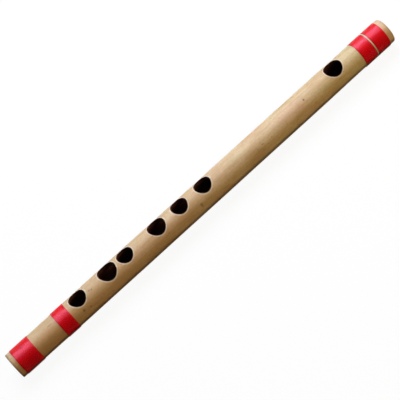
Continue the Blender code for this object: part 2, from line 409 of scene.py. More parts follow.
along = where["Along"]
foot_share = remap(tree, along, FOOT + FOOT_TINT_LENGTH, FOOT, 0, FOOT_TINT)
# Painted shade at the foot: the player's side gets the redder brown, the lit side the paler one
shade_side_share = remap(tree, where["Turn"], *SHADE_SIDE_TURNS)
skin = mix_colour(tree, foot_share, skin, mix_colour(tree, shade_side_share, FOOT_TAN_LIT_SIDE, FOOT_RUST_SHADE_SIDE))
head_share = remap(tree, along, HEAD - HEAD_TINT_LENGTH, HEAD, 0, HEAD_TINT)
skin = mix_colour(tree, head_share, skin, GREENISH)
stub_share = remap(tree, along, HEAD - HEAD_STUB - MM, HEAD - HEAD_STUB, 0, HEAD_STUB_TINT)
skin = mix_colour(tree, stub_share, skin, ROSY)

from_foot = maths(tree, "SUBTRACT", along, FOOT)
from_head = maths(tree, "SUBTRACT", HEAD, along)
from_end = maths(tree, "MINIMUM", from_foot, from_head)
# Both cut ends are darkened, the foot's more so
skin = mix_colour(tree, remap(tree, from_end, END_DARKENING_LENGTH, 0, 0, END_DARKENING), skin, END_BROWN)
skin = mix_colour(tree, remap(tree, from_foot, *FOOT_END_DARKENING_RANGE), skin, BUNDLE_BROWN)
print("The ends are tinted")

# %% [markdown]
# The fibres of bamboo run dead straight from end to end, and scraping and oiling the skin brings
# them out as fine darker lines. Long streaks, short fibres and soft mottles are one noise at three
# sizes, each of which mixes in a little brown. The few dark flecks are the peaks of a fourth.

# %% Streaks, fibres, mottles and flecks
FIBRE_BROWN = (0.48, 0.27, 0.135, 1)
FLECK_BROWN = (0.20, 0.10, 0.04, 1)
STREAK_SIZE = (60 * MM, 1.6 * MM, 1.6 * MM)
STREAK_RANGE = (0.50, 0.75, 0, 0.26)
FIBRE_SIZE = (22 * MM, 0.35 * MM, 0.35 * MM)
FIBRE_RANGE = (0.45, 0.80, 0, 0.26)
MOTTLE_SIZE = (2.2 * MM, 1.1 * MM, 1.1 * MM)
MOTTLE_RANGE = (0.40, 0.66, 0, 0.26)
FLECK_SIZE = (3.2 * MM, 0.7 * MM, 0.7 * MM)
FLECK_RANGE = (0.80, 0.86, 0, 0.6)

streaks = clouds(tree, place, STREAK_SIZE, detail=2)
fibres = clouds(tree, place, FIBRE_SIZE, detail=2, roughness=0.6)
mottles = clouds(tree, place, MOTTLE_SIZE, detail=3, roughness=0.65)
flecks = clouds(tree, place, FLECK_SIZE, detail=0)
for pattern, shares, brown in (
    (streaks, STREAK_RANGE, FIBRE_BROWN),
    (fibres, FIBRE_RANGE, FIBRE_BROWN),
    (mottles, MOTTLE_RANGE, FIBRE_BROWN),
    (flecks, FLECK_RANGE, FLECK_BROWN),
):
    skin = mix_colour(tree, remap(tree, pattern, *shares), skin, brown)
print("The skin has streaks, fibres, mottles and flecks")

# %% [markdown]
# A handled flute has marks of its own, such as scuffs and small stains. Each is a soft round spot
# at a place along the flute and an angle round it.

# %% A few marks of its own
# Place along the flute, degrees towards the player, radius, strength
MARKS = (
    (95.2 * MM, 25, 1.1 * MM, 0.85),
    (-6.8 * MM, 61, 1.6 * MM, 0.55),
    (-6.9 * MM, 70, 1.3 * MM, 0.45),
    (-114.8 * MM, 60, 1.4 * MM, 0.60),
    (-109.5 * MM, 66, 1.0 * MM, 0.60),
    (-103.6 * MM, 14, 1.0 * MM, 0.60),
    (-101.9 * MM, 18, 1.0 * MM, 0.55),
    (61.0 * MM, 48, 0.7 * MM, 0.45),
)

skin = add_spots(tree, place, skin, MARKS, FLECK_BROWN)
print(f"{len(MARKS)} marks on the skin")

# %% [markdown]
# The holes' rims are sanded back to pale wood, and their walls are charred black by the hot rod.
# The bore is brown, and the sawn ends show the fibre bundles as dots, close together near the
# skin. Three values that are painted on the mesh further down, char, sanded and sawn, say where
# these are. The colours go one over the other: rims, ends, bore and char. In two places a pale
# spot on a hole's inner edge is a painted glint.
#
# The bundles are cells of a Voronoi pattern, stretched so far that it runs straight through.

# %% Rims, ends, bore and char
SANDED_WOOD = (0.86, 0.74, 0.59, 1)
SAWN_WOOD = (0.50, 0.33, 0.17, 1)
BORE_BROWN = (0.19, 0.085, 0.048, 1)
CHAR_BLACK = (0.080, 0.032, 0.026, 1)
SANDED_GRAIN_RANGE = (0.3, 0.8, 0, 0.25)
BUNDLE_SIZE = (10 * LENGTH, 0.55 * MM, 0.55 * MM)
BUNDLE_RANGE = (0.42, 0.18, 0, 0.85)
BUNDLES_AT_BORE = 0.35
BORE_STREAK_RANGE = (0.3, 0.7, 0, 0.5)
INSIDE_EDGE = 0.15 * MM
# Painted glints: pale spots on two holes' inner edges
# The same four values as for a mark
PAINTED_GLINTS = ((121.2 * MM, -10, 0.9 * MM, 0.5), (-116.6 * MM, -8, 0.9 * MM, 0.35))

sanded_share = painted(tree, "sanded")
sawn_share = painted(tree, "sawn")
char_share = painted(tree, "char")

sanded_grain = remap(tree, fibres, *SANDED_GRAIN_RANGE)
sanded_colour = mix_colour(tree, sanded_grain, SANDED_WOOD, STRAW)
colour = mix_colour(tree, sanded_share, skin, sanded_colour)

dots = remap(tree, cells(tree, place, BUNDLE_SIZE), *BUNDLE_RANGE)
towards_skin = remap(tree, where["Radius"], BORE_RADIUS, OUTER_RADIUS, BUNDLES_AT_BORE, 1)
dots = maths(tree, "MULTIPLY", dots, towards_skin)
sawn_colour = mix_colour(tree, dots, SAWN_WOOD, BUNDLE_BROWN)
colour = mix_colour(tree, sawn_share, colour, sawn_colour)

inner_edge = BORE_RADIUS + INSIDE_EDGE
inside = remap(tree, where["Radius"], inner_edge + INSIDE_EDGE, inner_edge)
bore_streaks = remap(tree, streaks, *BORE_STREAK_RANGE)
bore_colour = mix_colour(tree, bore_streaks, BORE_BROWN, FLECK_BROWN)
colour = mix_colour(tree, inside, colour, bore_colour)
colour = mix_colour(tree, char_share, colour, CHAR_BLACK)
# Painted glints, in the colour of pale sanded wood
colour = add_spots(tree, place, colour, PAINTED_GLINTS, SANDED_WOOD)
print("The cut wood and the char have their colours")

# %% [markdown]
# The scraped skin has only a faint gloss, broken by its fibres, and cut, charred and inner wood is
# duller still. The bump follows the same fibres and streaks as the colour does, so that the relief
# and the grain agree.

# %% The bamboo's finish
SKIN_GLOSS = 0.05
SKIN_ROUGHNESS_RANGE = (0.3, 0.8, 0.46, 0.60)
WORKED_ROUGHNESS = 0.35  # added to the skin's
BORE_ROUGHNESS = 0.75
FIBRE_RELIEF = 0.4
SKIN_RELIEF = 0.05 * MM
# Painted shade round the underside: where it starts, where it is full, and how strong
BAMBOO_UNDERSIDE_SHADE = {"Start": 0.243, "End": 0.292, "Strength": 0.50}

skin_roughness = remap(tree, fibres, *SKIN_ROUGHNESS_RANGE)
worked_share = maths(tree, "MAXIMUM", sawn_share, char_share)
worked_share = maths(tree, "MAXIMUM", sanded_share, worked_share)
added_roughness = maths(tree, "MULTIPLY", worked_share, WORKED_ROUGHNESS)
roughness = maths(tree, "ADD", skin_roughness, added_roughness, clamp=True)
bore_roughness = maths(tree, "MULTIPLY", inside, BORE_ROUGHNESS)

relief = maths(tree, "ADD", maths(tree, "MULTIPLY", fibres, FIBRE_RELIEF), streaks)
relief = maths(tree, "SUBTRACT", relief, maths(tree, "MULTIPLY", dots, sawn_share))

bamboo_finish = {
    "Base Color": use_group(tree, underside_shade_group, {"Colour": colour, **BAMBOO_UNDERSIDE_SHADE})["Colour"],
    "Roughness": maths(tree, "MAXIMUM", roughness, bore_roughness),
    "Normal": bump(tree, relief, SKIN_RELIEF),
    "Specular IOR Level": SKIN_GLOSS,
}
feed(tree, bamboo_shader, bamboo_finish)
print("The bamboo's material is complete")

# %% [markdown]
# The bamboo could be cut with Boolean modifiers, as its solid was, but their edges shade badly
# close up. Instead each skin of the wall, outer and inner, starts as a flat sheet, like a label
# soaked off a tin. Windows are opened in it, and the sheet is rolled up.
#
# One helper does most of the work. It extrudes a loop of edges and moves each new point to where
# it belongs. Ring by ring it leads a window's square border to the hole's oval edge, goes over the
# sanded rim and down the wall, and rounds the edge of a sawn end.

# %% Find and extrude loops
NEAR = 0.05 * MM


def is_near(value, goal):
    """Says whether two lengths are the same, apart from rounding."""
    return abs(value - goal) < NEAR


def ring_at(shape, radius, test):
    """The open edges of the mesh at this radius whose places along the flute pass a test."""

    def belongs(point):
        return test(point.x) and is_near(polar(point)[1], radius)

    return [
        edge
        for edge in shape.edges
        if edge.is_boundary and all(belongs(vertex.co) for vertex in edge.verts)
    ]


def extrude_ring(shape, edges, move):
    """Extrudes a loop of edges and moves each new point. Gives the new loop."""
    made = bmesh.ops.extrude_edge_only(shape, edges=edges)["geom"]
    points = {item for item in made if isinstance(item, bmesh.types.BMVert)}
    for vertex in points:
        vertex.co = move(vertex.co)
    return [
        item
        for item in made
        if isinstance(item, bmesh.types.BMEdge) and all(vertex in points for vertex in item.verts)
    ]


print("Rings are extruded one at a time")

# %% [markdown]
# An oval cut in a sheet of square cells would leave ragged faces. So the cells round the hole are
# taken out, and eight rings of new ones close in on the oval, each a little nearer to it.

# %% Lay a skin out flat
CELL = 1.0 * MM
SIDES = 72
WINDOW_MARGIN = 1.0 * MM
WINDOW_HALF_ANGLE = math.radians(72)
WINDOW_RINGS = 8
SEAM_GAP = 0.01 * MM


def open_window(sheet, hole, growth, radius):
    """Opens a flat sheet round a hole and leads the border to the hole's oval edge."""
    half_length = hole.length / 2 + growth
    half_width = hole.width / 2 + growth
    taken_out = []
    for face in sheet.faces:
        middle = face.calc_center_median()
        near = abs(middle.x - hole.along) < hole.length / 2 + WINDOW_MARGIN
        if near and abs(middle.y / OUTER_RADIUS - hole.roll) < WINDOW_HALF_ANGLE:
            taken_out.append(face)
    corners = {vertex for face in taken_out for vertex in face.verts}
    bmesh.ops.delete(sheet, geom=taken_out, context="FACES")
    border = [
        edge
        for edge in sheet.edges
        if edge.is_boundary and all(vertex in corners for vertex in edge.verts)
    ]
    for rings_left in range(WINDOW_RINGS, 0, -1):

        def move(point, rings_left=rings_left):
            angle = point.y / OUTER_RADIUS - hole.roll
            turn = math.atan2(angle * radius / half_width, (point.x - hole.along) / half_length)
            edge_angle = hole.roll + math.asin(half_width * math.sin(turn) / radius)
            edge_along = hole.along + half_length * math.cos(turn)
            goal = Vector((edge_along, edge_angle * OUTER_RADIUS, 0))
            return point.lerp(goal, 1 / rings_left)

        border = extrude_ring(sheet, border, move)


def roll_up_skin(shape, start, end, radius, growths):
    """Adds one skin of the wall, rolled to a radius, with its holes open."""
    sheet = bmesh.new()
    columns = round((end - start) / CELL)
    bmesh.ops.create_grid(sheet, x_segments=columns, y_segments=SIDES, size=0.5)
    size = (end - start, FULL_TURN * OUTER_RADIUS, 1)
    bmesh.ops.scale(sheet, vec=size, verts=sheet.verts)
    bmesh.ops.translate(sheet, vec=((start + end) / 2, 0, 0), verts=sheet.verts)
    for hole, growth in zip(holes, growths):
        open_window(sheet, hole, growth, radius)
    for vertex in sheet.verts:
        vertex.co = on_flute(vertex.co.x, vertex.co.y / OUTER_RADIUS, radius)
    bmesh.ops.remove_doubles(sheet, verts=sheet.verts, dist=SEAM_GAP)
    mesh = bpy.data.meshes.new("skin")
    sheet.to_mesh(mesh)
    sheet.free()
    shape.from_mesh(mesh)
    bpy.data.meshes.remove(mesh)


print(f"A skin has {SIDES} sides and cells of {CELL / MM:.0f} mm")

# %% [markdown]
# Two functions describe a hole: where a point of its edge lies round the oval, and where the wall
# is at that angle and depth. The two skins are then joined through each hole.

# %% Follow a hole's oval


def oval_turn(hole, point, growth):
    """Where a point of a hole's edge lies round its oval, as an angle."""
    angle, radius = polar(point)
    across = radius * math.sin(angle - hole.roll) / (hole.width / 2 + growth)
    return math.atan2(across, (point.x - hole.along) / (hole.length / 2 + growth))


def hole_point(hole, turn, growth, depth):
    """A point of a hole's wall, this deep under the bamboo's surface."""
    along_hole = hole.along + (hole.length / 2 + growth) * math.cos(turn)
    across = (hole.width / 2 + growth) * math.sin(turn)
    up = math.sqrt(OUTER_RADIUS**2 - across**2) - depth
    return on_flute(along_hole, hole.roll + math.atan2(across, up), math.hypot(across, up))


print("A hole's wall follows its oval")

# %% [markdown]
# Sandpaper rounds a hole's rim, so the first rings below the outer skin follow a quarter circle.
# The next go straight down the wall, and a bridge of faces joins the last one to the inner skin.
# There the blow hole's edge is wider, because its maker cuts it back from inside for an easier
# sound.

# %% Build the bamboo's wall
RIM_STEPS = 4
WALL_STEPS = 3
STRAIGHT_SHARE = 0.6  # how much of the wall the straight rings span
HEAD_ROUNDING = 1.0 * MM
BORE_EDGE = 0.4 * MM

tube = bmesh.new()
skin_start, skin_end = FOOT + BORE_EDGE, HEAD - HEAD_ROUNDING
roll_up_skin(tube, skin_start, skin_end, OUTER_RADIUS, [RIM_WIDTH] * len(holes))
roll_up_skin(tube, skin_start, skin_end, BORE_RADIUS, [hole.undercut for hole in holes])

rings = []  # how far each ring lies outside the hole's wall, and how deep
for step in range(1, RIM_STEPS + 1):
    bend = QUARTER_TURN * step / RIM_STEPS
    rings.append((RIM_WIDTH * (1 - math.sin(bend)), RIM_DEPTH * (1 - math.cos(bend))))
straight = STRAIGHT_SHARE * WALL
for step in range(1, WALL_STEPS):
    share = step / WALL_STEPS
    rings.append((0, RIM_DEPTH + (straight - RIM_DEPTH) * share))

for hole in holes:

    def beside_hole(place_along, hole=hole):
        beside = abs(place_along - hole.along) < hole.length / 2 + WINDOW_MARGIN
        return beside and skin_start + CELL / 2 < place_along < skin_end - CELL / 2

    top = ring_at(tube, OUTER_RADIUS, beside_hole)
    bottom = ring_at(tube, BORE_RADIUS, beside_hole)
    growth = RIM_WIDTH
    for next_growth, depth in rings:

        def move(point, hole=hole, old=growth, new=next_growth, depth=depth):
            return hole_point(hole, oval_turn(hole, point, old), new, depth)

        top = extrude_ring(tube, top, move)
        growth = next_growth
    bmesh.ops.bridge_loops(tube, edges=top + bottom)
print(f"{len(holes)} holes pass through the wall")

# %% [markdown]
# The ends are closed in the same way. At the foot the outline is a saw cut with its edges just
# broken. At the head the maker has rounded the outer edge by a millimetre.

# %% Round the ends
FOOT_EDGE = 0.3 * MM
HEAD_STEPS = 6


def follow(shape, edges, outline):
    """Extrudes a loop through (place, radius) points, each round the flute's axis."""
    for place_along, radius in outline:

        def move(point, place_along=place_along, radius=radius):
            return on_flute(place_along, polar(point)[0], radius)

        edges = extrude_ring(shape, edges, move)
    return edges


foot_outline = [
    (FOOT + FOOT_EDGE, OUTER_RADIUS),
    (FOOT, OUTER_RADIUS - FOOT_EDGE),
    (FOOT, OUTER_RADIUS - WALL / 2),
    (FOOT, BORE_RADIUS + BORE_EDGE),
]
head_outline = []
for step in range(1, HEAD_STEPS + 1):
    bend = QUARTER_TURN * step / HEAD_STEPS
    place_along = HEAD - HEAD_ROUNDING * (1 - math.sin(bend))
    head_outline.append((place_along, OUTER_RADIUS - HEAD_ROUNDING * (1 - math.cos(bend))))
head_outline += [(HEAD, BORE_RADIUS + BORE_EDGE), (HEAD - BORE_EDGE, BORE_RADIUS)]

for end, outline in ((skin_start, foot_outline), (skin_end, head_outline)):

    def at_end(place_along, end=end):
        return is_near(place_along, end)

    outer = ring_at(tube, OUTER_RADIUS, at_end)
    inner = ring_at(tube, BORE_RADIUS, at_end)
    outer = follow(tube, outer, outline)
    bmesh.ops.bridge_loops(tube, edges=outer + inner)
bmesh.ops.recalc_face_normals(tube, faces=tube.faces)
open_edges = sum(not edge.is_manifold for edge in tube.edges)
print(f"The wall has {len(tube.faces)} faces and {open_edges} open edges")

# %% [markdown]
# Bamboo isn't turned on a lathe. Its skin swells and narrows by a tenth of a millimetre or so,
# with a slight belly in the middle, and thread wound over it follows. One function gives that
# swell, so that both use the same one.
#
# A second function says how charred, sanded or sawn a point is, from its distance to the nearest
# hole's edge or to an end. Soot also reaches a little way into the bore round each hole.

# %% How it grew and where it was worked
SWELL = 0.10 * MM
SWELL_LENGTH = 45 * MM
SWELL_ROUND = 0.7
SWELL_START = Vector((3.7, 0, 0))
BELLY = 0.25 * MM
BELLY_FROM_FOOT = (20 * MM, 70 * MM)
BELLY_FROM_HEAD = (35 * MM, 70 * MM)
HALO = 1.1 * MM
CHAR_START = 0.08 * MM
BURNT_LIP = (0.22 * MM, 0.47 * MM)
SOOT_START = 0.6 * MM
SOOT_REACH = 9 * MM
SAWN_HEAD = 0.3 * MM
SAWN_ABOVE_BORE = 0.1 * MM


def fade(value, start, end):
    """Falls smoothly from 1 at start to 0 at end."""
    share = min(max((value - start) / (end - start), 0), 1)
    return 1 - share * share * (3 - 2 * share)


def swell(along, angle):
    """How far the bamboo's skin stands out or in from a true cylinder."""
    around = Vector((math.sin(angle), math.cos(angle)))
    spot = Vector((along / SWELL_LENGTH, SWELL_ROUND * around.x, SWELL_ROUND * around.y))
    belly = (1 - fade(along - FOOT, *BELLY_FROM_FOOT)) * (1 - fade(HEAD - along, *BELLY_FROM_HEAD))
    return SWELL * noise.noise(spot + SWELL_START) + BELLY * belly


def beyond_hole(hole, point):
    """About how far a point lies outside a hole's edge, or less than 0 within it."""
    angle, radius = polar(point)
    across = radius * math.sin(angle - hole.roll) / (hole.width / 2)
    lengthwise = (point.x - hole.along) / (hole.length / 2)
    if math.cos(angle - hole.roll) < 0:
        return SOOT_REACH
    return (math.hypot(across, lengthwise) - 1) * hole.width / 2


def worked(point):
    """How charred, sanded and sawn a point is, each from 0 to 1."""
    radius = polar(point)[1]
    below = OUTER_RADIUS - radius
    gap = min(beyond_hole(hole, point) for hole in holes)
    if is_near(radius, BORE_RADIUS):
        gap = min(abs(point.x - hole.along) - hole.length / 2 for hole in holes)
    char = fade(below, RIM_DEPTH, CHAR_START) * fade(gap, SOOT_START, SOOT_REACH)
    char = max(char, fade(gap, *BURNT_LIP))
    sanded = fade(gap, RIM_WIDTH, HALO) * fade(below, RIM_DEPTH, 2 * RIM_DEPTH)
    on_end = point.x < FOOT + NEAR or point.x > HEAD - SAWN_HEAD
    sawn = 1.0 if on_end and radius > BORE_RADIUS + SAWN_ABOVE_BORE else 0.0
    return char, sanded, sawn


print(f"The skin swells by {SWELL / MM:.2f} mm, and its belly by {BELLY / MM:.2f} mm")

# %% [markdown]
# Every finished shape becomes an object in the same way. A piece of the flute is also told which
# body it rides on.

# %% Helpers that finish a shape


def new_object(name, shape, material):
    """Turns a bmesh into an object with one material."""
    mesh = bpy.data.meshes.new(name)
    shape.to_mesh(mesh)
    shape.free()
    mesh.materials.append(material)
    made = bpy.data.objects.new(name, mesh)
    bpy.context.scene.collection.objects.link(made)
    return made


def new_piece(name, shape, material, body):
    """Turns a bmesh into a smooth-shaded piece that rides on a body of the flute."""
    piece = new_object(name, shape, material)
    piece.data.shade_smooth()
    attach(piece, body)
    return piece


print("The helpers that finish a shape are ready")

# %% [markdown]
# The bamboo's points now move by the swell. The bore is reamed true, so the swell fades to nothing
# there. What was worked is noted first, on the true cylinder, and then painted on the piece's
# points as three named values.

# %% Let the bamboo grow, and paint it
painting = [worked(vertex.co) for vertex in tube.verts]
for vertex in tube.verts:
    angle, radius = polar(vertex.co)
    share = min((radius - BORE_RADIUS) / WALL, 1)
    vertex.co = on_flute(vertex.co.x, angle, radius + share * swell(vertex.co.x, angle))
    vertex.co.z = max(vertex.co.z, 0)
bamboo = new_piece("bamboo", tube, bamboo_material, "flute")
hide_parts("bamboo_tube")
for number, name in enumerate(("char", "sanded", "sawn")):
    attribute = bamboo.data.attributes.new(name, "FLOAT", "POINT")
    attribute.data.foreach_set("value", [values[number] for values in painting])
print(f"bamboo: {len(bamboo.data.polygons)} faces")

# %% [markdown]
# Each binding is one silky red thread, wound tightly, turn beside turn, 0.4 mm apart. The pull of
# the winding presses the thread to half that thickness, and what shows is fine ridges with a soft
# sheen across them. A smooth sleeve with a bump map would look painted on, so the thread is real
# geometry. Only its twist is finer still: it is left to the material, as slanting plies in a group
# that the red and the pale thread share.

# %% The twisted thread's group
PLIES_PER_TURN = 90
PLY_LEAN = 1.0
UNEVEN_SIZE = (0.5 * MM, 5 * MM, 5 * MM)

twist_group, twist_in, twist_end = new_group(
    "twisted_thread",
    [("Pitch", FLOAT), ("Plies", FLOAT), ("Start", FLOAT)],
    [("Height", FLOAT), ("Tone", FLOAT)],
)
where = use_group(twist_group, round_group)
from_start = maths(twist_group, "SUBTRACT", where["Along"], twist_in["Start"])
turns = maths(twist_group, "DIVIDE", from_start, twist_in["Pitch"])
lean = maths(twist_group, "MULTIPLY", turns, PLY_LEAN)
run = maths(twist_group, "MULTIPLY", where["Turn"], twist_in["Plies"])
phase = maths(twist_group, "MULTIPLY", maths(twist_group, "ADD", run, lean), FULL_TURN)
ply = maths(twist_group, "SINE", phase)
uneven = clouds(twist_group, object_place(twist_group), UNEVEN_SIZE, detail=2)
feed(twist_group, twist_end, {"Height": remap(twist_group, ply, -1, 1), "Tone": uneven})
print("Group:", twist_group.name)

# %% [markdown]
# Dyed silk is deep in colour where it is plain, and its gloss takes a tint: pink on the red thread
# and warm white on the pale one. Between the plies each is a little deeper, which is painted shade
# in the gaps, and uneven patches are a little deeper too. The turns at the two edges of a red band
# are darkened with painted shade, where the band meets the bamboo, and a value that is painted on
# the thread, rim, says where they are.

# %% Mix the thread's colours
THREAD_PITCH = 0.40 * MM
RED = (0.84, 0.001, 0.003, 1)
# The deep colours serve both the uneven tone and the painted shade between the plies
RED_DEEP = (0.76, 0.0, 0.001, 1)
# Dark red for the nick and for the painted shade at the bands' edges
RED_NICK_AND_SHADE = (0.12, 0.0, 0.001, 1)
RED_TINT = (1.0, 0.40, 0.64, 1)
RED_GLOSS = 0.20
RED_ROUGHNESS = 0.32
RED_SPOTS = ((-163.4 * MM, -2, 1.1 * MM, 0.95),)
CREAM = (1.0, 0.90, 0.84, 1)
CREAM_DEEP = (0.97, 0.80, 0.72, 1)
CREAM_TINT = (1.0, 0.95, 0.90, 1)
CREAM_GLOSS = 0.20
CREAM_ROUGHNESS = 0.45
PLY_GAP_SHADE_RANGE = (0.25, 0.0, 0, 0.5)
UNEVEN_RANGE = (0.40, 0.70, 0, 0.6)
BAND_RIM_SHADE = 0.55
PLY_RELIEF = 0.02 * MM
# Painted shade round the thread's underside, as on the bamboo
THREAD_UNDERSIDE_SHADE = {"Start": 0.259, "End": 0.309, "Strength": 0.80}


def thread_material(name, light, deep, tint, gloss, roughness, spots=()):
    """A finish for wound thread: plies, painted shade, uneven tone and a silky gloss with a tint.
    """
    material, tree, shader = new_material(name)
    values = {"Pitch": THREAD_PITCH, "Plies": PLIES_PER_TURN, "Start": FOOT}
    twist = use_group(tree, twist_group, values)
    # Painted shade in the gaps between the plies
    between = remap(tree, twist["Height"], *PLY_GAP_SHADE_RANGE)
    uneven = remap(tree, twist["Tone"], *UNEVEN_RANGE)
    colour = mix_colour(tree, maths(tree, "MAXIMUM", between, uneven), light, deep)
    colour = add_spots(tree, object_place(tree), colour, spots, RED_NICK_AND_SHADE)
    # Painted shade on the turns at a red band's two edges
    rim = maths(tree, "MULTIPLY", painted(tree, "rim"), BAND_RIM_SHADE)
    colour = mix_colour(tree, rim, colour, RED_NICK_AND_SHADE)
    finish = {
        "Base Color": use_group(tree, underside_shade_group, {"Colour": colour, **THREAD_UNDERSIDE_SHADE})["Colour"],
        "Roughness": roughness,
        "Specular Tint": tint,
        "Specular IOR Level": gloss,
        "Normal": bump(tree, twist["Height"], PLY_RELIEF),
    }
    feed(tree, shader, finish)
    return material


red_material = thread_material(
    "red_thread", RED, RED_DEEP, RED_TINT, RED_GLOSS, RED_ROUGHNESS, RED_SPOTS
)
cream_material = thread_material(
    "cream_thread", CREAM, CREAM_DEEP, CREAM_TINT, CREAM_GLOSS, CREAM_ROUGHNESS
)
print("Two threads, red and cream")

# %% [markdown]
# A thread starts as a flat ribbon of faces, eight wide and very long. The ribbon is rolled up
# lengthwise into a thin tube and wound round the flute in the same step, by working out each
# point's place from how far along the thread it is and where it lies round the thread.
#
# The winding starts and ends under the flute, out of sight, and its two ends sink in, tucked
# under the turns beside them. Where the flute lies on the table, its own weight presses the turns
# down to half their thickness.

# %% Wind the thread
THREAD_DEPTH = 0.20 * MM
THREAD_WIDTH = 0.98  # as a share of the pitch
THREAD_SIDES = 8
STEPS_PER_TURN = 72
RIBBON_EDGE = 0.49  # the ribbon runs from -0.5 to 0.5
RIBBON_GAP = 0.001 * MM
TUCK = 0.30 * MM
TUCK_TURNS = 0.15
BAND_RIM_WIDTH = 0.9 * MM
WANDER = 0.05 * MM
WANDER_LENGTH = 4 * MM


def wind(name, start, end, proud, material, nodes):
    """Winds one thread from start to end, its crown standing this proud of the bamboo."""
    turns = max(round((end - start) / THREAD_PITCH) - 1, 1)
    pitch = (end - start) / (turns + 1)
    middle = OUTER_RADIUS + proud - THREAD_DEPTH / 2
    shape = bmesh.new()
    bmesh.ops.create_grid(
        shape, x_segments=STEPS_PER_TURN * turns, y_segments=THREAD_SIDES, size=0.5
    )
    rim = shape.verts.layers.float.new("rim")
    seam = [vertex for vertex in shape.verts if abs(vertex.co.y) > RIBBON_EDGE]
    for vertex in shape.verts:
        wound = turns * (vertex.co.x + 0.5)
        round_thread = FULL_TURN * vertex.co.y
        angle = math.pi + FULL_TURN * wound
        along = start + pitch * (0.5 + wound + THREAD_WIDTH / 2 * math.sin(round_thread))
        radius = middle + THREAD_DEPTH / 2 * math.cos(round_thread) + swell(along, angle)
        radius -= TUCK * fade(min(wound, turns - wound), 0, TUCK_TURNS)
        if material == red_material:
            vertex[rim] = fade(min(along - start, end - along), 0, BAND_RIM_WIDTH)
        point = on_flute(along, angle, radius)
        point.x += WANDER * noise.noise(point / WANDER_LENGTH)
        pressed = THREAD_DEPTH / 4 * (1 - math.cos(round_thread))
        point.z = max(point.z, pressed)
        vertex.co = point
    bmesh.ops.remove_doubles(shape, verts=seam, dist=RIBBON_GAP)
    bmesh.ops.holes_fill(shape, edges=[edge for edge in shape.edges if edge.is_boundary])
    bmesh.ops.recalc_face_normals(shape, faces=shape.faces)
    piece = new_piece(name, shape, material, "flute")
    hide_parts(*nodes)
    print(f"{name}: {turns} turns, {len(piece.data.polygons)} faces")


print(f"A thread is a tube of {THREAD_SIDES} sides")

# %% [markdown]
# The solids give each band's start and end. The two head bands reach a little further towards
# each other than there, and squeeze the single turn of pale thread between them.

# %% Wind all five bindings
RED_PROUD = 0.35 * MM
CREAM_PROUD = 0.34 * MM
CREAM_SQUEEZE = 0.08 * MM

spans = {
    node: [corner.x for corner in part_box(node)]
    for node in ("foot_binding", "middle_binding", "head_inner_binding", "head_outer_binding")
}
spans["head_inner_binding"][1] += CREAM_SQUEEZE
spans["head_outer_binding"][0] -= CREAM_SQUEEZE
for node, (start, end) in spans.items():
    wind(f"{node}_thread", start, end, RED_PROUD, red_material, [node])

cream_start = spans["head_inner_binding"][1]
cream_end = spans["head_outer_binding"][0]
wind(
    "cream_thread", cream_start, cream_end, CREAM_PROUD, cream_material,
    ["pale_thread"],
)

# %% [markdown]
# The cork sits deep in the head and shows only from that end. It is cut from bark, so it has a
# fine cloudy grain, and small dark pores that are pits in its surface.

# %% The cork's finish
CORK = (0.56, 0.36, 0.19, 1)
CORK_DARK = (0.20, 0.10, 0.045, 1)
CORK_LIGHT = (0.70, 0.50, 0.30, 1)
GRAIN_SIZE = (1.6 * MM, 1.2 * MM, 1.2 * MM)
GRAIN_RANGE = (0.35, 0.65)
PORE_SIZE = (2.6 * MM, 1.1 * MM, 1.1 * MM)
PORE_RANGE = (0.30, 0.12)
PORE_DARKNESS = 0.8
CORK_ROUGHNESS_RANGE = (0.3, 0.7, 0.75, 0.92)
CORK_RELIEF = 0.15 * MM

cork_material, tree, cork_shader = new_material("cork")
place = object_place(tree)
grain = clouds(tree, place, GRAIN_SIZE, detail=4, roughness=0.65)
pits = remap(tree, cells(tree, place, PORE_SIZE), *PORE_RANGE)
colour = mix_colour(tree, remap(tree, grain, *GRAIN_RANGE), CORK, CORK_LIGHT)
colour = mix_colour(tree, maths(tree, "MULTIPLY", pits, PORE_DARKNESS), colour, CORK_DARK)
cork_finish = {
    "Base Color": colour,
    "Roughness": remap(tree, grain, *CORK_ROUGHNESS_RANGE),
    "Normal": bump(tree, maths(tree, "SUBTRACT", grain, pits), CORK_RELIEF),
}
feed(tree, cork_shader, cork_finish)
print("The cork's material is complete")

# %% [markdown]
# The stopper is a cylinder whose edges are worn round by pushing it to and fro. Its end faces are
# inset a few times, so that they have points enough to be roughened by moving them a little.

# %% Cut the cork
CORK_SQUEEZE = 0.05 * MM
CORK_SIDES = 64
CORK_INSETS = 3
CORK_EDGE = 0.7 * MM
CORK_EDGE_STEPS = 4
SHARP = math.radians(60)
CORK_ROUGH = 0.12 * MM
LUMP_SIZE = 1.5 * MM

cork_low, cork_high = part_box("cork_stopper")
cork_middle = (cork_low.x + cork_high.x) / 2
cork_radius = BORE_RADIUS - CORK_SQUEEZE
cork_shape = bmesh.new()
bmesh.ops.create_cone(
    cork_shape, cap_ends=True, segments=CORK_SIDES,
    radius1=cork_radius, radius2=cork_radius, depth=cork_high.x - cork_low.x,
)
caps = [face for face in cork_shape.faces if len(face.verts) > 4]
ring_width = cork_radius / (CORK_INSETS + 1)
for _ in range(CORK_INSETS):
    bmesh.ops.inset_region(
        cork_shape, faces=caps, thickness=ring_width, depth=0, use_even_offset=True
    )
edges = [
    edge
    for edge in cork_shape.edges
    if len(edge.link_faces) == 2 and edge.calc_face_angle() > SHARP
]
bmesh.ops.bevel(
    cork_shape, geom=edges, offset=CORK_EDGE, segments=CORK_EDGE_STEPS, profile=0.5,
    affect="EDGES", material=-1,
)
lying = Matrix.Rotation(QUARTER_TURN, 3, "Y")
bmesh.ops.rotate(cork_shape, cent=(0, 0, 0), matrix=lying, verts=cork_shape.verts)
